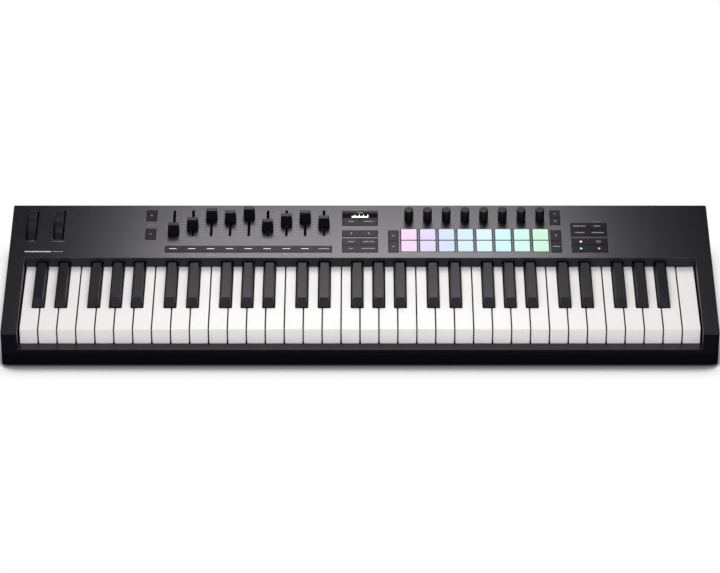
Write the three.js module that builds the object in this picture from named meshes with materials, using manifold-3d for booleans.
// A 61-key controller synthesizer: sloped control panel with wheels, faders, pads and
// encoders behind a five-octave keybed. Millimetres, +X right, +Y back, +Z up.
// The origin is on the resting surface, under the middle of the case.

import * as THREE from 'three';
import { mergeVertices } from 'three/addons/utils/BufferGeometryUtils.js';
import Module from 'manifold-3d';

const wasm = await Module();
wasm.setup();

// ---------------------------------------------------------------- driving dimensions

const CASE_WIDTH = 892;
const CASE_DEPTH = 258.2;
const WALL = 2.5;
const GAP = 0.3;
const FOOT_HEIGHT = 3.5;
const BOTTOM_CHAMFER = 0.8;
const PARTING_Z = 20;
const FRONT_TOP_Z = 50.8;
const BACK_TOP_Z = 70.1;
const CORNER_RADIUS = 3;
const EDGE_CHAMFER = 1;
// How far cutters, and solids to be joined, reach past each other.
const OVERLAP = 1;

const WELL_HALF_WIDTH = 425.5;
const WELL_BACK_Y = 20.8;
const SHELF_TOP_Z = 26.6;
const SHELF_BACK_Y = -115.8;
const LIP_BOTTOM_Z = 48.5;
const NOTCH_TOP_Z = 57;
const NOTCH_SIDE_GAP = 1.2;

const OCTAVES = 5;
const OCTAVE_WIDTH = 165;
const WHITE_PITCH = OCTAVE_WIDTH / 7;
const WHITE_GAP = 1.2;
const WHITE_TOP_Z = 47.5;
const WHITE_FRONT_Y = -114.3;
const WHITE_FRONT_HEIGHT = 22.2;
const WHITE_SIDE_HEIGHT = 13.5;
const WHITE_WALL = 2.2;
// How far behind its front wall a white key's skirt starts and ends its slope.
const WHITE_SKIRT_SLOPE = [1, 3];
const TAIL_THICKNESS = 10;
const BLACK_FRONT_Y = -67.9;
const BLACK_TOP_FRONT_Y = -61.8;
const BLACK_TOP_Z = 58.5;
const BLACK_SKIRT_Z = 48;
const BLACK_BOTTOM_Z = 38;
const BLACK_BASE_WIDTH = 13.7;
const BLACK_TOP_WIDTH = 10.5;
const BLACK_SIDE_GAP = 0.8;
const NECK_INSET = 1;
const BLACK_WALL = { side: 1.5, end: 2, top: 2.5 };
const BLACK_HIGH_END_Y = 24.5;
// A black key slopes down over these y to a lower top, to pass under the lip.
const BLACK_STEP_Y = [15.3, 18.6];
const BLACK_REAR_TOP_Z = 55.7;
const BAR_THICKNESS = 3;
const UPPER_BAR_Z = 49;
const LOWER_BAR_Z = 33;
const WHITE_BAR_Y = [38, 48];
const BLACK_BAR_Y = [26, 35];
// Sideways shift of each black key from the joint between the white keys it sits over.
const BLACK_SHIFTS = [
  { boundary: 1, shift: -2.3 },
  { boundary: 2, shift: 2.3 },
  { boundary: 4, shift: -3.5 },
  { boundary: 5, shift: 0 },
  { boundary: 6, shift: 3.5 },
];
const COMB_A_KEYS = [0, 2, 4, 6];
const COMB_B_KEYS = [1, 3, 5];

// Panel items: u is across, v is up the slope from the front edge, w is out of the panel.
const CONTROL_PITCH = 24;
const BLOCK_FRONT_V = 161.7;
const BLOCK_BACK_V = 247.4;
const CAP_HEIGHT = 0.6;
const CAP_GAP = 0.8;
const WINDOW_GAP = 0.4;
const CARRIER_MARGIN = 1.3;
const CARRIER_TOP_W = -2.8;
const CARRIER_BOTTOM_W = -4.8;

const WHEEL_RADIUS = 34.2;
const WHEEL_WIDTH = 10;
const WHEEL_CENTER_V = 217.3;
const WHEEL_CENTER_W = -20.5;
const WHEEL_SLOT = { width: 13.3, length: 59.2 };
const PITCH_WHEEL_U = -419.3;
const MOD_WHEEL_U = -385;
const PITCH_NOTCH_ANGLE = 0;
const MOD_NOTCH_ANGLE = 28;
const NOTCH_RADIUS = 11;
const NOTCH_DEPTH = 3;
const AXLE_RADIUS = 3;
const AXLE_CLEARANCE = 0.3;
const AXLE_REACH = 3.5;
const BRACKET = { baseY: [76, 102], plateY: [80, 98], rise: 7, sideGap: 1 };

const FADER_COUNT = 9;
const FADER_FIRST_U = -238.2;
const FADER_SLOT = { width: 3, length: 53.2, centerV: 221 };
const FADER_TRAVEL = 45;
const FADER_CAP = { base: [15, 11], top: [12.7, 6.6], lift: 0.6, height: 14.5 };
const FADER_STEM = { width: 2, depth: 6, bottomW: -13.5, sideRoom: 0.8, endRoom: 1 };
const FADER_BODY = { width: 9, endRoom: 8, depth: 3 };
// How far each fader is pushed up its slot at rest, from 0 to 1.
const FADER_REST = [0.08, 0.31, 0.73, 0.63, 0.8, 0.24, 0.49, 0.63, 0.39];

const ENCODER_COUNT = 8;
const ENCODER_FIRST_U = 62.5;
const ENCODER_V = 229.3;
const ENCODER_KNOB_RADIUS = 5.8;
const ENCODER_HEIGHT = 16;
const ENCODER_LIFT = 0.6;
const ENCODER_EDGE = 0.6;
const ENCODER_TAPER = 0.1;
const ENCODER_SHAFT_BOTTOM_W = -7;
const ENCODER_HOLE_GAP = 0.6;
const ENCODER_BORE_GAP = 0.35;
const ENCODER_BODY = { width: 12, topW: -3 };

const PAD_COUNT = 8;
const PAD_SIZE = [20, 21.3];
const PAD_LOWER_V = 173.8;
const PAD_HEIGHT = 0.7;
const PAD_WINDOW_GAP = 0.7;
const PAD_CARRIER_MARGIN = 0.8;

const BOARD_TOP_W = -7.5;
const BOARD_THICKNESS = 1.6;
const BOARD_U = [-282, 322];
const BOARD_V = [158, 250];

const SOCKET_BOARD_X = [-305, -200];
const SOCKET_Y = [98, 126];
const SOCKET_FACE_Y = 128.8;
const SOCKET_BOARD_Z = 24;
const JACK = { x: -290, z: 36, noseRadius: 5.6, boreRadius: 3.3, boreDepth: 25.8, width: 16, topZ: 44 };
const MIDI = {
  x: -255,
  z: 36,
  noseRadius: 9,
  ringInner: 6.6,
  ringOuter: 7.8,
  ringDepth: 8,
  width: 20,
  topZ: 46,
};
const USB = { x: -215, z: 31, width: 9.4, height: 3.6, mouth: [7.8, 2], mouthDepth: 6 };

const BOSS_RADIUS = 4.2;
const SCREW_BORE_RADIUS = 3;
const BOSSES = [
  [-436, -100], [436, -100], [-436, 20], [436, 20],
  [-436, 110], [436, 110], [-330, 115], [335, 115],
];

const FOOT_RADIUS = 10;
const FOOT_EDGE = 1;
const FEET = {
  front_left: [-400, -108],
  front_right: [400, -108],
  rear_left: [-400, 108],
  rear_right: [400, 108],
};

// Flat sides that each kind of round solid is made with.
const BOSS_SIDES = 8;
const HOLE_SIDES = 12;
const ENCODER_SIDES = 14;
const AXLE_SIDES = 16;
const WHEEL_SIDES = 36;
const NOTCH_SIDES = 20;
const SOCKET_SIDES = 20;
const FOOT_SIDES = 16;

// ---------------------------------------------------------------- derived dimensions

const HALF_WIDTH = CASE_WIDTH / 2;
const HALF_DEPTH = CASE_DEPTH / 2;
const SLOPE = Math.atan2(BACK_TOP_Z - FRONT_TOP_Z, CASE_DEPTH);
const panelZ = (y) => FRONT_TOP_Z + Math.tan(SLOPE) * (y + HALF_DEPTH);
const KEYS_LEFT_X = -(OCTAVES * OCTAVE_WIDTH + WHITE_PITCH) / 2;
const BLACK_CLEAR = BLACK_BASE_WIDTH / 2 + BLACK_SIDE_GAP;
const PAD_UPPER_V = PAD_LOWER_V + CONTROL_PITCH;
const BOARD_BOTTOM_W = BOARD_TOP_W - BOARD_THICKNESS;
const THROUGH_PANEL = [-WALL - OVERLAP, OVERLAP];

// ---------------------------------------------------------------- solids

function toSolid(geometry) {
  const plain = geometry.clone();
  plain.deleteAttribute('normal');
  plain.deleteAttribute('uv');
  const merged = mergeVertices(plain, 1e-4);
  return new wasm.Manifold(new wasm.Mesh({
    numProp: 3,
    vertProperties: new Float32Array(merged.attributes.position.array),
    triVerts: new Uint32Array(merged.index.array),
  }));
}

function toGeometry(solid) {
  const mesh = solid.getMesh();
  const geometry = new THREE.BufferGeometry();
  geometry.setAttribute('position', new THREE.BufferAttribute(mesh.vertProperties, 3));
  geometry.setIndex(new THREE.BufferAttribute(mesh.triVerts, 1));
  geometry.computeVertexNormals();
  return geometry;
}

const join = (solids) => solids.reduce((all, next) => all.add(next));
const cut = (solid, cutters) => cutters.reduce((left, next) => left.subtract(next), solid);

// The corners are set one by one, so that faces meant to be in one plane are exactly so.
function box([x0, x1], [y0, y1], [z0, z1]) {
  const geometry = new THREE.BoxGeometry(1, 1, 1);
  const corners = geometry.attributes.position;
  for (let i = 0; i < corners.count; i += 1) {
    const x = corners.getX(i) > 0 ? x1 : x0;
    const y = corners.getY(i) > 0 ? y1 : y0;
    const z = corners.getZ(i) > 0 ? z1 : z0;
    corners.setXYZ(i, x, y, z);
  }
  return toSolid(geometry);
}

function outline(points) {
  return new THREE.Shape(points.map(([a, b]) => new THREE.Vector2(a, b)));
}

function extruded(shape, depth, curveSegments = 4) {
  return new THREE.ExtrudeGeometry(shape, { depth, bevelEnabled: false, curveSegments });
}

// A (y, z) outline run along X.
function sideProfile(points, [x0, x1]) {
  const geometry = extruded(outline(points), x1 - x0);
  const turn = new THREE.Matrix4().makeBasis(
    new THREE.Vector3(0, 1, 0),
    new THREE.Vector3(0, 0, 1),
    new THREE.Vector3(1, 0, 0),
  );
  geometry.applyMatrix4(turn);
  geometry.translate(x0, 0, 0);
  return toSolid(geometry);
}

// An (x, z) outline run along Y.
function frontProfile(points, [y0, y1]) {
  const geometry = extruded(outline(points), y1 - y0);
  geometry.rotateX(Math.PI / 2);
  geometry.translate(0, y1, 0);
  return toSolid(geometry);
}

function roundedRectangle(width, depth, radius) {
  const x = width / 2;
  const y = depth / 2;
  const shape = new THREE.Shape();
  shape.moveTo(-x + radius, -y);
  shape.lineTo(x - radius, -y);
  shape.absarc(x - radius, -y + radius, radius, -Math.PI / 2, 0);
  shape.absarc(x - radius, y - radius, radius, 0, Math.PI / 2);
  shape.absarc(-x + radius, y - radius, radius, Math.PI / 2, Math.PI);
  shape.absarc(-x + radius, -y + radius, radius, Math.PI, Math.PI * 1.5);
  return shape;
}

function verticalPlate(shape, [z0, z1]) {
  const geometry = extruded(shape, z1 - z0);
  geometry.translate(0, 0, z0);
  return toSolid(geometry);
}

// A round solid about an axis along Z, X or Y, from a (radius, height) profile.
function turned(profile, segments, axis = 'z') {
  const points = profile.map(([r, h]) => new THREE.Vector2(r, h));
  const geometry = new THREE.LatheGeometry(points, segments);
  geometry.rotateX(Math.PI / 2);
  if (axis === 'x') geometry.rotateY(Math.PI / 2);
  if (axis === 'y') geometry.rotateX(-Math.PI / 2);
  return toSolid(geometry);
}

function rod(radius, [low, high], segments, axis = 'z') {
  return turned([[0, low], [radius, low], [radius, high], [0, high]], segments, axis);
}

// ---------------------------------------------------------------- scene graph

const synthesizer = new THREE.Group();
const panel = new THREE.Group();
panel.position.set(0, -HALF_DEPTH, FRONT_TOP_Z);
panel.rotation.x = SLOPE;
synthesizer.add(panel);
panel.updateMatrixWorld(true);

const onPanel = (solid) => toSolid(toGeometry(solid).applyMatrix4(panel.matrixWorld));

const FINISHES = {
  charcoal: { color: 0x3a393d, roughness: 0.6, metalness: 0 },
  black: { color: 0x141416, roughness: 0.6, metalness: 0 },
  keyWhite: { color: 0xf4f3f0, roughness: 0.3, metalness: 0 },
  keyBlack: { color: 0x232326, roughness: 0.5, metalness: 0 },
  button: { color: 0x2e2d32, roughness: 0.7, metalness: 0 },
  pad: { color: 0xd9e6f5, roughness: 0.7, metalness: 0 },
  screen: { color: 0x050506, roughness: 0.1, metalness: 0 },
  board: { color: 0x1f5a3a, roughness: 0.5, metalness: 0 },
  rubber: { color: 0x1b1b1b, roughness: 0.9, metalness: 0 },
};

function add(name, solid, finish, parent = synthesizer, [x, y, z] = [0, 0, 0]) {
  const material = new THREE.MeshStandardMaterial(FINISHES[finish]);
  const mesh = new THREE.Mesh(toGeometry(solid), material);
  mesh.name = name;
  mesh.position.set(x, y, z);
  parent.add(mesh);
}

// ---------------------------------------------------------------- button blocks

// Every block of push buttons: centre, outer size, and how many caps it has each way.
const fromEdges = (u, v, columns, rows, backMargin = CARRIER_MARGIN) => ({
  u: (u[0] + u[1]) / 2,
  v: (v[0] + v[1]) / 2,
  width: u[1] - u[0],
  depth: v[1] - v[0],
  columns,
  rows,
  backMargin,
});

const DISPLAY_WIDTH = 44.5;
const DISPLAY_SPLIT_V = 231.8;
const DISPLAY_BACK_V = 246.4;
const GLASS_TOP_W = 0.4;
const BUTTON_BLOCKS = {
  octave_up_button: fromEdges([-273.9, -261.2], [225.7, BLOCK_BACK_V], 1, 1),
  octave_down_button: fromEdges([-273.9, -261.2], [187.6, 209.3], 1, 1),
  fader_button_strip: fromEdges([-247.9, -36.2], [BLOCK_FRONT_V, 174.3], 9, 1),
  display_buttons: fromEdges([-22.25, 22.25], [216.4, DISPLAY_SPLIT_V], 2, 1, -GAP),
  track_buttons: fromEdges([-22.25, 22.25], [193.5, 205.9], 2, 1),
  mode_buttons: fromEdges([-22.25, 22.25], [BLOCK_FRONT_V, 189.6], 2, 2),
  pad_page_buttons: fromEdges([36.5, 48.6], [BLOCK_FRONT_V, 205.9], 1, 2),
  encoder_page_buttons: fromEdges([244.2, 256.4], [217.3, BLOCK_BACK_V], 1, 2),
  scene_buttons: fromEdges([244.1, 256.4], [BLOCK_FRONT_V, 206.5], 1, 2),
  transport_upper_buttons: fromEdges([270.1, 315.5], [194.4, 221.2], 2, 2),
  transport_lower_buttons: fromEdges([270.1, 315.5], [BLOCK_FRONT_V, 189.6], 2, 2),
};

function grid(columns, rows, width, depth) {
  const cells = [];
  for (let column = 0; column < columns; column += 1) {
    for (let row = 0; row < rows; row += 1) {
      const u = -width / 2 + (column * width) / columns;
      const v = -depth / 2 + (row * depth) / rows;
      cells.push({ u: [u, u + width / columns], v: [v, v + depth / rows] });
    }
  }
  return cells;
}

// Caps stand on one thin carrier that stays under the panel.
function buttonBlock({ width, depth, columns, rows, backMargin }) {
  const half = CAP_GAP / 2;
  const inset = ([low, high], edge) => [
    low > -edge + half ? low + half : low,
    high < edge - half ? high - half : high,
  ];
  const caps = grid(columns, rows, width, depth).map((cell) => box(
    inset(cell.u, width / 2),
    inset(cell.v, depth / 2),
    [CARRIER_BOTTOM_W, CAP_HEIGHT],
  ));
  const carrier = box(
    [-width / 2 - CARRIER_MARGIN, width / 2 + CARRIER_MARGIN],
    [-depth / 2 - CARRIER_MARGIN, depth / 2 + backMargin],
    [CARRIER_BOTTOM_W, CARRIER_TOP_W],
  );
  return join([carrier, ...caps]);
}

function panelWindow(u, v, width, depth, gap) {
  return box(
    [u - width / 2 - gap, u + width / 2 + gap],
    [v - depth / 2 - gap, v + depth / 2 + gap],
    THROUGH_PANEL,
  );
}

// ---------------------------------------------------------------- panel openings

const faderU = (index) => FADER_FIRST_U + CONTROL_PITCH * index;
const encoderU = (index) => ENCODER_FIRST_U + CONTROL_PITCH * index;
const range = (count) => Array.from({ length: count }, (_, index) => index);

function faderSlot(index) {
  const radius = FADER_SLOT.width / 2;
  const reach = FADER_SLOT.length / 2 - radius;
  const shape = new THREE.Shape();
  shape.absarc(0, reach, radius, 0, Math.PI);
  shape.absarc(0, -reach, radius, Math.PI, Math.PI * 2);
  return verticalPlate(shape, THROUGH_PANEL).translate([faderU(index), FADER_SLOT.centerV, 0]);
}

function panelCutters() {
  const { display_buttons: displayButtons, ...blocks } = BUTTON_BLOCKS;
  const cutters = Object.values(blocks).map(
    (block) => panelWindow(block.u, block.v, block.width, block.depth, WINDOW_GAP),
  );
  // The display and the two buttons in front of it share one window.
  const displayFront = displayButtons.v - displayButtons.depth / 2;
  const displayV = (displayFront + DISPLAY_BACK_V) / 2;
  const displayDepth = DISPLAY_BACK_V - displayFront;
  cutters.push(panelWindow(0, displayV, DISPLAY_WIDTH, displayDepth, WINDOW_GAP));
  for (const u of [PITCH_WHEEL_U, MOD_WHEEL_U]) {
    cutters.push(panelWindow(u, WHEEL_CENTER_V, WHEEL_SLOT.width, WHEEL_SLOT.length, 0));
  }
  for (const index of range(FADER_COUNT)) {
    cutters.push(faderSlot(index));
  }
  for (const index of range(ENCODER_COUNT)) {
    const hole = rod(AXLE_RADIUS + ENCODER_HOLE_GAP, THROUGH_PANEL, HOLE_SIDES);
    cutters.push(hole.translate([encoderU(index), ENCODER_V, 0]));
  }
  // One window holds the two pads that stand one behind the other.
  const [padWidth, padDepth] = PAD_SIZE;
  const padsV = (PAD_LOWER_V + PAD_UPPER_V) / 2;
  const padsDepth = CONTROL_PITCH + padDepth;
  for (const index of range(PAD_COUNT)) {
    cutters.push(panelWindow(encoderU(index), padsV, padWidth, padsDepth, PAD_WINDOW_GAP));
  }
  return cutters;
}

// ---------------------------------------------------------------- case

function outerCase([z0, z1]) {
  const plan = roundedRectangle(CASE_WIDTH, CASE_DEPTH, CORNER_RADIUS);
  return verticalPlate(plan, [z0, z1]);
}

function topCover() {
  // Walls reach past the parting line and into the well, and are cut to their true size at the end.
  const bottom = PARTING_Z + GAP - OVERLAP;
  const lift = EDGE_CHAMFER * Math.tan(SLOPE);
  const skin = sideProfile([
    [-HALF_DEPTH, bottom],
    [HALF_DEPTH, bottom],
    [HALF_DEPTH, BACK_TOP_Z - EDGE_CHAMFER],
    [HALF_DEPTH - EDGE_CHAMFER, BACK_TOP_Z - lift],
    [-HALF_DEPTH + EDGE_CHAMFER, FRONT_TOP_Z + lift],
    [-HALF_DEPTH, FRONT_TOP_Z - EDGE_CHAMFER],
  ], [-HALF_WIDTH, HALF_WIDTH]);
  const innerY = HALF_DEPTH - WALL;
  const wallRise = WALL / Math.cos(SLOPE);
  const hollow = sideProfile([
    [-innerY, bottom - OVERLAP],
    [innerY, bottom - OVERLAP],
    [innerY, panelZ(innerY) - wallRise],
    [-innerY, panelZ(-innerY) - wallRise],
  ], [-HALF_WIDTH + WALL, HALF_WIDTH - WALL]);
  const shell = cut(outerCase([bottom, BACK_TOP_Z]).intersect(skin), [hollow]);

  const inSkin = WALL / 2;
  const wallFrontY = -HALF_DEPTH + OVERLAP;
  const lipBackY = WELL_BACK_Y + WALL;
  const lipFrontY = WELL_BACK_Y - OVERLAP;
  const acrossWell = [-WELL_HALF_WIDTH - OVERLAP, WELL_HALF_WIDTH + OVERLAP];
  const cheekWall = (x) => sideProfile([
    [wallFrontY, bottom],
    [lipBackY, bottom],
    [lipBackY, panelZ(lipBackY) - inSkin],
    [wallFrontY, panelZ(wallFrontY) - inSkin],
  ], x);
  const lip = sideProfile([
    [lipFrontY, LIP_BOTTOM_Z],
    [lipBackY, LIP_BOTTOM_Z],
    [lipBackY, panelZ(lipBackY) - inSkin],
    [lipFrontY, panelZ(lipFrontY) - inSkin],
  ], acrossWell);
  const shelfZ = [SHELF_TOP_Z - WALL, SHELF_TOP_Z + OVERLAP];
  const shelf = box(acrossWell, [wallFrontY, SHELF_BACK_Y], shelfZ);
  const inWell = [-WELL_HALF_WIDTH, WELL_HALF_WIDTH];
  const well = join([
    box(inWell, [-CASE_DEPTH, WELL_BACK_Y], [SHELF_TOP_Z, CASE_DEPTH]),
    box(inWell, [SHELF_BACK_Y, WELL_BACK_Y], [0, SHELF_TOP_Z + OVERLAP]),
  ]);
  const belowZ = [0, PARTING_Z + GAP];
  const belowParting = box([-CASE_WIDTH, CASE_WIDTH], [-CASE_DEPTH, CASE_DEPTH], belowZ);
  const bosses = BOSSES.map(
    ([x, y]) => rod(BOSS_RADIUS, [bottom, panelZ(y) - inSkin], BOSS_SIDES).translate([x, y, 0]),
  );
  const notchHalf = BLACK_BASE_WIDTH / 2 + NOTCH_SIDE_GAP;
  const notches = blackKeyCentres().map((x) => box(
    [x - notchHalf, x + notchHalf],
    [WELL_BACK_Y - OVERLAP, lipBackY + OVERLAP],
    [LIP_BOTTOM_Z - OVERLAP, NOTCH_TOP_Z],
  ));
  const throughWall = [innerY - OVERLAP, HALF_DEPTH + OVERLAP];
  const around = (socket) => rod(socket.noseRadius + GAP, throughWall, SOCKET_SIDES, 'y')
    .translate([socket.x, 0, socket.z]);
  const sockets = [
    around(JACK),
    around(MIDI),
    box(
      [USB.x - USB.width / 2 - GAP, USB.x + USB.width / 2 + GAP],
      throughWall,
      [USB.z - USB.height / 2 - GAP, USB.z + USB.height / 2 + GAP],
    ),
  ];
  const walls = [
    cheekWall([-WELL_HALF_WIDTH - WALL, -WELL_HALF_WIDTH + OVERLAP]),
    cheekWall([WELL_HALF_WIDTH - OVERLAP, WELL_HALF_WIDTH + WALL]),
  ];
  const cover = join([shell, ...walls, lip, shelf, ...bosses]);
  return cut(cover, [belowParting, well, ...notches, ...panelCutters().map(onPanel), ...sockets]);
}

function bottomCase() {
  const ySide = sideProfile([
    [-HALF_DEPTH + BOTTOM_CHAMFER, FOOT_HEIGHT],
    [HALF_DEPTH - BOTTOM_CHAMFER, FOOT_HEIGHT],
    [HALF_DEPTH, FOOT_HEIGHT + BOTTOM_CHAMFER],
    [HALF_DEPTH, PARTING_Z],
    [-HALF_DEPTH, PARTING_Z],
    [-HALF_DEPTH, FOOT_HEIGHT + BOTTOM_CHAMFER],
  ], [-HALF_WIDTH, HALF_WIDTH]);
  const floorTop = FOOT_HEIGHT + WALL;
  const hollow = box(
    [-HALF_WIDTH + WALL, HALF_WIDTH - WALL],
    [-HALF_DEPTH + WALL, HALF_DEPTH - WALL],
    [floorTop, PARTING_Z + OVERLAP],
  );
  const tray = cut(outerCase([FOOT_HEIGHT, PARTING_Z]).intersect(ySide), [hollow]);
  const bosses = BOSSES.map(
    ([x, y]) => rod(BOSS_RADIUS, [floorTop - OVERLAP, PARTING_Z], BOSS_SIDES).translate([x, y, 0]),
  );
  const bores = BOSSES.map(
    ([x, y]) => rod(SCREW_BORE_RADIUS, [0, PARTING_Z - WALL], BOSS_SIDES).translate([x, y, 0]),
  );
  return cut(join([tray, ...bosses]), bores);
}

// ---------------------------------------------------------------- keys

function blackKeyCentres() {
  return range(OCTAVES).flatMap((octave) => BLACK_SHIFTS.map(
    ({ boundary, shift }) => KEYS_LEFT_X + octave * OCTAVE_WIDTH + boundary * WHITE_PITCH + shift,
  ));
}

// Left or right edge of a white key's narrow part, beside a black key or another white key.
function tailEdge(boundary, side) {
  const black = BLACK_SHIFTS.find((key) => key.boundary === boundary);
  const x = boundary * WHITE_PITCH;
  return black ? x + black.shift + side * BLACK_CLEAR : x + side * (WHITE_GAP / 2);
}

function whiteKey(position, left, right) {
  const headLeft = position * WHITE_PITCH + WHITE_GAP / 2;
  const headX = [headLeft, headLeft + WHITE_PITCH - WHITE_GAP];
  const sideBottom = WHITE_TOP_Z - WHITE_SIDE_HEIGHT;
  const frontBottom = WHITE_TOP_Z - WHITE_FRONT_HEIGHT;
  const headBackY = BLACK_FRONT_Y - BLACK_SIDE_GAP;
  const skirtY = WHITE_FRONT_Y + WHITE_WALL;
  const [slopeStart, slopeEnd] = WHITE_SKIRT_SLOPE;
  const head = sideProfile([
    [WHITE_FRONT_Y, frontBottom],
    [skirtY + slopeStart, frontBottom],
    [skirtY + slopeEnd, sideBottom],
    [headBackY, sideBottom],
    [headBackY, WHITE_TOP_Z],
    [WHITE_FRONT_Y, WHITE_TOP_Z],
  ], headX);
  const hollow = box(
    [headX[0] + WHITE_WALL, headX[1] - WHITE_WALL],
    [skirtY, headBackY - WHITE_WALL],
    [0, WHITE_TOP_Z - WHITE_WALL],
  );
  const tail = box(
    [left, right],
    [headBackY - OVERLAP, WHITE_BAR_Y[1]],
    [WHITE_TOP_Z - TAIL_THICKNESS, WHITE_TOP_Z],
  );
  return cut(head, [hollow]).add(tail);
}

// White keys on one hinge bar. The bar of one comb runs under the keys, the other over them.
function whiteComb(positions, barOver) {
  const keys = positions.map((position) => whiteKey(
    position,
    tailEdge(position, 1),
    tailEdge(position + 1, -1),
  ));
  const barLeft = tailEdge(positions[0], 1);
  const barRight = tailEdge(positions.at(-1) + 1, -1);
  const barZ = barOver ? UPPER_BAR_Z : LOWER_BAR_Z;
  const bar = box([barLeft, barRight], WHITE_BAR_Y, [barZ, barZ + BAR_THICKNESS]);
  const riserZ = barOver
    ? [WHITE_TOP_Z - OVERLAP, barZ + OVERLAP]
    : [barZ + OVERLAP, WHITE_TOP_Z - TAIL_THICKNESS + OVERLAP];
  const risers = positions.map((position) => box(
    [tailEdge(position, 1), tailEdge(position + 1, -1)],
    WHITE_BAR_Y,
    riserZ,
  ));
  return join([bar, ...risers, ...keys]);
}

function blackKey(x) {
  const side = sideProfile([
    [BLACK_FRONT_Y, BLACK_BOTTOM_Z],
    [BLACK_HIGH_END_Y, BLACK_BOTTOM_Z],
    [BLACK_HIGH_END_Y, BLACK_REAR_TOP_Z],
    [BLACK_STEP_Y[1], BLACK_REAR_TOP_Z],
    [BLACK_STEP_Y[0], BLACK_TOP_Z],
    [BLACK_TOP_FRONT_Y, BLACK_TOP_Z],
    [BLACK_FRONT_Y, BLACK_SKIRT_Z],
  ], [x - BLACK_BASE_WIDTH / 2, x + BLACK_BASE_WIDTH / 2]);
  const taper = frontProfile([
    [x - BLACK_BASE_WIDTH / 2, BLACK_BOTTOM_Z - OVERLAP],
    [x + BLACK_BASE_WIDTH / 2, BLACK_BOTTOM_Z - OVERLAP],
    [x + BLACK_BASE_WIDTH / 2, BLACK_SKIRT_Z],
    [x + BLACK_TOP_WIDTH / 2, BLACK_TOP_Z],
    [x - BLACK_TOP_WIDTH / 2, BLACK_TOP_Z],
    [x - BLACK_BASE_WIDTH / 2, BLACK_SKIRT_Z],
  ], [BLACK_FRONT_Y - OVERLAP, BLACK_HIGH_END_Y + OVERLAP]);
  const hollowHalf = BLACK_TOP_WIDTH / 2 - BLACK_WALL.side;
  const hollow = box(
    [x - hollowHalf, x + hollowHalf],
    [BLACK_TOP_FRONT_Y + BLACK_WALL.end, BLACK_HIGH_END_Y - BLACK_WALL.end],
    [0, BLACK_REAR_TOP_Z - BLACK_WALL.top],
  );
  return cut(side.intersect(taper), [hollow]);
}

function blackComb() {
  const centres = BLACK_SHIFTS.map(({ boundary, shift }) => boundary * WHITE_PITCH + shift);
  const half = BLACK_BASE_WIDTH / 2;
  const bar = box(
    [centres[0] - half, centres.at(-1) + half],
    BLACK_BAR_Y,
    [UPPER_BAR_Z, UPPER_BAR_Z + BAR_THICKNESS],
  );
  const necks = centres.map((x) => box(
    [x - half + NECK_INSET, x + half - NECK_INSET],
    [BLACK_HIGH_END_Y - OVERLAP, BLACK_BAR_Y[0] + OVERLAP],
    [UPPER_BAR_Z, UPPER_BAR_Z + BAR_THICKNESS],
  ));
  return join([bar, ...necks, ...centres.map(blackKey)]);
}

function addKeys() {
  for (const octave of range(OCTAVES)) {
    const place = [KEYS_LEFT_X + octave * OCTAVE_WIDTH, 0, 0];
    const number = octave + 1;
    add(`white_keys_ceg_b_${number}`, whiteComb(COMB_A_KEYS, false), 'keyWhite', synthesizer, place);
    add(`white_keys_d_f_a_${number}`, whiteComb(COMB_B_KEYS, true), 'keyWhite', synthesizer, place);
    add(`black_keys_${number}`, blackComb(), 'keyBlack', synthesizer, place);
  }
  // The last key has no black key beside it, so its narrow part is as wide as its head.
  const top = whiteKey(0, WHITE_GAP / 2, WHITE_PITCH - WHITE_GAP / 2);
  const foot = box(
    [WHITE_GAP / 2, WHITE_PITCH - WHITE_GAP / 2],
    WHITE_BAR_Y,
    [LOWER_BAR_Z, WHITE_TOP_Z - TAIL_THICKNESS + OVERLAP],
  );
  const place = [KEYS_LEFT_X + OCTAVES * OCTAVE_WIDTH, 0, 0];
  add('white_key_top_c', top.add(foot), 'keyWhite', synthesizer, place);
}

// ---------------------------------------------------------------- keybed chassis

const CHASSIS_HALF_WIDTH = 423.5;
const CHASSIS_BOTTOM_Z = FOOT_HEIGHT + WALL + GAP;
const CHASSIS_FRONT_Y = -108;
const CONTACT_BOARD = { y: [-30, 8], z: 22, thickness: 1.6, stripY: [-20, -8], stripTopZ: 31 };
const STRIP_FOOT = 0.5;
const BAR_GAP = { under: 1.6, behind: 2 };
const KEY_POST = { width: 8, y: [-96, -92], topZ: 32 };

function keybedChassis() {
  const floor = CHASSIS_BOTTOM_Z + WALL;
  const across = [-CHASSIS_HALF_WIDTH, CHASSIS_HALF_WIDTH];
  const [boardFront, boardBack] = CONTACT_BOARD.y;
  const railZ = LOWER_BAR_Z - BAR_GAP.under;
  const wallFront = WHITE_BAR_Y[1] + BAR_GAP.behind;
  const wallBack = wallFront + WALL;
  const boardSeat = CONTACT_BOARD.z - GAP;
  const profile = sideProfile([
    [CHASSIS_FRONT_Y, CHASSIS_BOTTOM_Z],
    [wallBack, CHASSIS_BOTTOM_Z],
    [wallBack, WHITE_TOP_Z],
    [wallFront, WHITE_TOP_Z],
    [wallFront, railZ],
    [WHITE_BAR_Y[0], railZ],
    [WHITE_BAR_Y[0], railZ - WALL],
    [wallFront, railZ - WALL],
    [wallFront, floor],
    [boardBack, floor],
    [boardBack, boardSeat],
    [boardBack - WALL, boardSeat],
    [boardBack - WALL, floor],
    [boardFront + WALL, floor],
    [boardFront + WALL, boardSeat],
    [boardFront, boardSeat],
    [boardFront, floor],
    [CHASSIS_FRONT_Y, floor],
  ], across);
  const posts = range(OCTAVES * 7 + 1).map((index) => {
    const x = KEYS_LEFT_X + (index + 0.5) * WHITE_PITCH;
    const acrossPost = [x - KEY_POST.width / 2, x + KEY_POST.width / 2];
    return box(acrossPost, KEY_POST.y, [floor - OVERLAP, KEY_POST.topZ]);
  });
  return join([profile, ...posts]);
}

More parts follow.
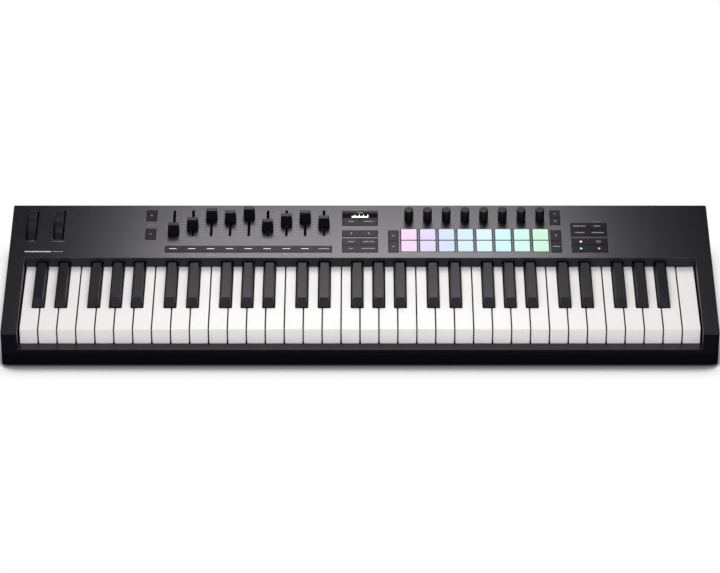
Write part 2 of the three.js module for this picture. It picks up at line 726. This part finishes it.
function contactBoard() {
  const across = [-CHASSIS_HALF_WIDTH + GAP, CHASSIS_HALF_WIDTH - GAP];
  const top = CONTACT_BOARD.z + CONTACT_BOARD.thickness;
  const plate = box(across, CONTACT_BOARD.y, [CONTACT_BOARD.z, top]);
  const strip = box(across, CONTACT_BOARD.stripY, [top - STRIP_FOOT, CONTACT_BOARD.stripTopZ]);
  return plate.add(strip);
}

// ---------------------------------------------------------------- wheels

function wheel(notchAngleDegrees) {
  const half = WHEEL_WIDTH / 2;
  const axleHalf = half + AXLE_REACH;
  const disc = rod(WHEEL_RADIUS, [-half, half], WHEEL_SIDES, 'x');
  const axle = rod(AXLE_RADIUS, [-axleHalf, axleHalf], AXLE_SIDES, 'x');
  const angle = THREE.MathUtils.degToRad(notchAngleDegrees);
  const reach = WHEEL_RADIUS + NOTCH_RADIUS - NOTCH_DEPTH;
  const scoop = rod(NOTCH_RADIUS, [-half - OVERLAP, half + OVERLAP], NOTCH_SIDES, 'x')
    .translate([0, -Math.sin(angle) * reach, Math.cos(angle) * reach]);
  return disc.subtract(scoop).add(axle);
}

// Four upright plates on a base, with a bearing hole for each axle end.
function wheelBracket() {
  const centre = new THREE.Vector3(0, WHEEL_CENTER_V, WHEEL_CENTER_W);
  centre.applyMatrix4(panel.matrixWorld);
  const inner = WHEEL_WIDTH / 2 + BRACKET.sideGap;
  const outer = inner + WALL;
  const baseZ = [CHASSIS_BOTTOM_Z, CHASSIS_BOTTOM_Z + WALL];
  const plateZ = [CHASSIS_BOTTOM_Z, centre.z + BRACKET.rise];
  const base = box([PITCH_WHEEL_U - outer, MOD_WHEEL_U + outer], BRACKET.baseY, baseZ);
  const plates = [PITCH_WHEEL_U, MOD_WHEEL_U].flatMap((x) => [
    box([x - outer, x - inner], BRACKET.plateY, plateZ),
    box([x + inner, x + outer], BRACKET.plateY, plateZ),
  ]);
  const throughPlates = [-outer - OVERLAP, outer + OVERLAP];
  const bearings = [PITCH_WHEEL_U, MOD_WHEEL_U].map(
    (x) => rod(AXLE_RADIUS + AXLE_CLEARANCE, throughPlates, AXLE_SIDES, 'x')
      .translate([x, centre.y, centre.z]),
  );
  return cut(join([base, ...plates]), bearings);
}

function addWheels() {
  const place = (u) => [u, WHEEL_CENTER_V, WHEEL_CENTER_W];
  add('pitch_wheel', wheel(PITCH_NOTCH_ANGLE), 'rubber', panel, place(PITCH_WHEEL_U));
  add('mod_wheel', wheel(MOD_NOTCH_ANGLE), 'rubber', panel, place(MOD_WHEEL_U));
  add('wheel_bracket', wheelBracket(), 'black');
}

// ---------------------------------------------------------------- faders and encoders

function fader() {
  const [baseWidth, baseDepth] = FADER_CAP.base.map((size) => size / 2);
  const [topWidth, topDepth] = FADER_CAP.top.map((size) => size / 2);
  const { lift, height } = FADER_CAP;
  const lengthways = sideProfile(
    [[-baseDepth, lift], [baseDepth, lift], [topDepth, height], [-topDepth, height]],
    [-baseWidth, baseWidth],
  );
  const crossways = frontProfile(
    [[-baseWidth, lift], [baseWidth, lift], [topWidth, height], [-topWidth, height]],
    [-baseDepth, baseDepth],
  );
  const stem = box(
    [-FADER_STEM.width / 2, FADER_STEM.width / 2],
    [-FADER_STEM.depth / 2, FADER_STEM.depth / 2],
    [FADER_STEM.bottomW, lift + OVERLAP],
  );
  return lengthways.intersect(crossways).add(stem);
}

function encoder() {
  const topRadius = ENCODER_KNOB_RADIUS - ENCODER_TAPER;
  return turned([
    [0, ENCODER_SHAFT_BOTTOM_W],
    [AXLE_RADIUS, ENCODER_SHAFT_BOTTOM_W],
    [AXLE_RADIUS, ENCODER_LIFT],
    [ENCODER_KNOB_RADIUS, ENCODER_LIFT],
    [topRadius, ENCODER_HEIGHT - ENCODER_EDGE],
    [topRadius - ENCODER_EDGE, ENCODER_HEIGHT],
    [0, ENCODER_HEIGHT],
  ], ENCODER_SIDES);
}

function addFadersAndEncoders() {
  range(FADER_COUNT).forEach((index) => {
    const v = FADER_SLOT.centerV + (FADER_REST[index] - 0.5) * FADER_TRAVEL;
    add(`fader_${index + 1}`, fader(), 'black', panel, [faderU(index), v, 0]);
  });
  range(ENCODER_COUNT).forEach((index) => {
    add(`encoder_${index + 1}`, encoder(), 'black', panel, [encoderU(index), ENCODER_V, 0]);
  });
}

// ---------------------------------------------------------------- pads and display

function padRow() {
  const [width, depth] = PAD_SIZE;
  const pads = range(PAD_COUNT).map((index) => box(
    [index * CONTROL_PITCH - width / 2, index * CONTROL_PITCH + width / 2],
    [-depth / 2, depth / 2],
    [CARRIER_BOTTOM_W, PAD_HEIGHT],
  ));
  const left = width / 2 + PAD_CARRIER_MARGIN;
  const front = depth / 2 + PAD_CARRIER_MARGIN;
  const carrier = box(
    [-left, (PAD_COUNT - 1) * CONTROL_PITCH + left],
    [-front, front],
    [CARRIER_BOTTOM_W, CARRIER_TOP_W],
  );
  return join([carrier, ...pads]);
}

function displayScreen() {
  const front = DISPLAY_SPLIT_V + GAP * 2;
  const half = DISPLAY_WIDTH / 2;
  const glass = box([-half, half], [front, DISPLAY_BACK_V], [CARRIER_BOTTOM_W, GLASS_TOP_W]);
  const flange = box(
    [-half - CARRIER_MARGIN, half + CARRIER_MARGIN],
    [front, DISPLAY_BACK_V + CARRIER_MARGIN],
    [CARRIER_BOTTOM_W, CARRIER_TOP_W],
  );
  return glass.add(flange);
}

// ---------------------------------------------------------------- circuit boards

function controlBoard() {
  const plate = box(BOARD_U, BOARD_V, [BOARD_BOTTOM_W, BOARD_TOP_W]);
  const about = (middle, size) => [middle - size / 2, middle + size / 2];
  const encoderBodies = range(ENCODER_COUNT).map((index) => box(
    about(encoderU(index), ENCODER_BODY.width),
    about(ENCODER_V, ENCODER_BODY.width),
    [BOARD_TOP_W - OVERLAP, ENCODER_BODY.topW],
  ));
  const boreW = [ENCODER_SHAFT_BOTTOM_W - GAP, 0];
  const shaftBores = range(ENCODER_COUNT).map(
    (index) => rod(AXLE_RADIUS + ENCODER_BORE_GAP, boreW, HOLE_SIDES)
      .translate([encoderU(index), ENCODER_V, 0]),
  );
  const bodyLength = FADER_TRAVEL + 2 * FADER_BODY.endRoom;
  const faderBodies = range(FADER_COUNT).map((index) => box(
    about(faderU(index), FADER_BODY.width),
    about(FADER_SLOT.centerV, bodyLength),
    [FADER_STEM.bottomW - FADER_BODY.depth, BOARD_BOTTOM_W + OVERLAP],
  ));
  const trackLength = FADER_TRAVEL + FADER_STEM.depth + 2 * FADER_STEM.endRoom;
  const tracks = range(FADER_COUNT).map((index) => box(
    about(faderU(index), FADER_STEM.width + 2 * FADER_STEM.sideRoom),
    about(FADER_SLOT.centerV, trackLength),
    [FADER_STEM.bottomW - FADER_STEM.endRoom, 0],
  ));
  return cut(join([plate, ...encoderBodies, ...faderBodies]), [...shaftBores, ...tracks]);
}

function rearSocketBoard() {
  const boardTop = SOCKET_BOARD_Z + BOARD_THICKNESS;
  const [boardFront, boardBack] = SOCKET_Y;
  const plate = box(SOCKET_BOARD_X, SOCKET_Y, [SOCKET_BOARD_Z, boardTop]);
  const body = (socket, topZ) => box(
    [socket.x - socket.width / 2, socket.x + socket.width / 2],
    [boardFront + OVERLAP, boardBack],
    [boardTop - OVERLAP, topZ],
  );
  const rodY = (socket, radius, y) => rod(radius, y, SOCKET_SIDES, 'y')
    .translate([socket.x, 0, socket.z]);
  const usbBlock = ([width, height], y) => box(
    [USB.x - width / 2, USB.x + width / 2],
    y,
    [USB.z - height / 2, USB.z + height / 2],
  );
  const nose = [boardBack - OVERLAP, SOCKET_FACE_Y];
  const solids = [
    plate,
    body(JACK, JACK.topZ),
    body(MIDI, MIDI.topZ),
    body(USB, USB.z + USB.height / 2),
    rodY(JACK, JACK.noseRadius, nose),
    rodY(MIDI, MIDI.noseRadius, nose),
    usbBlock([USB.width, USB.height], nose),
  ];
  const inward = (depth) => [SOCKET_FACE_Y - depth, SOCKET_FACE_Y + OVERLAP];
  const ringY = inward(MIDI.ringDepth);
  const mouths = [
    rodY(JACK, JACK.boreRadius, inward(JACK.boreDepth)),
    rodY(MIDI, MIDI.ringOuter, ringY).subtract(rodY(MIDI, MIDI.ringInner, ringY)),
    usbBlock(USB.mouth, inward(USB.mouthDepth)),
  ];
  return cut(join(solids), mouths);
}

function foot() {
  const top = FOOT_HEIGHT - GAP;
  return turned([
    [0, 0],
    [FOOT_RADIUS - FOOT_EDGE, 0],
    [FOOT_RADIUS, FOOT_EDGE],
    [FOOT_RADIUS, top],
    [0, top],
  ], FOOT_SIDES);
}

// ---------------------------------------------------------------- assembly

add('top_cover', topCover(), 'charcoal');
add('bottom_case', bottomCase(), 'black');
add('keybed_chassis', keybedChassis(), 'black');
add('key_contact_board', contactBoard(), 'board');
addKeys();
addWheels();
addFadersAndEncoders();
add('pad_row_lower', padRow(), 'pad', panel, [ENCODER_FIRST_U, PAD_LOWER_V, 0]);
add('pad_row_upper', padRow(), 'pad', panel, [ENCODER_FIRST_U, PAD_UPPER_V, 0]);
for (const [name, block] of Object.entries(BUTTON_BLOCKS)) {
  add(name, buttonBlock(block), 'button', panel, [block.u, block.v, 0]);
}
add('display_screen', displayScreen(), 'screen', panel);
add('control_board', controlBoard(), 'board', panel);
add('rear_socket_board', rearSocketBoard(), 'black');
for (const [corner, [x, y]] of Object.entries(FEET)) {
  add(`foot_${corner}`, foot(), 'rubber', synthesizer, [x, y, 0]);
}

export default synthesizer;
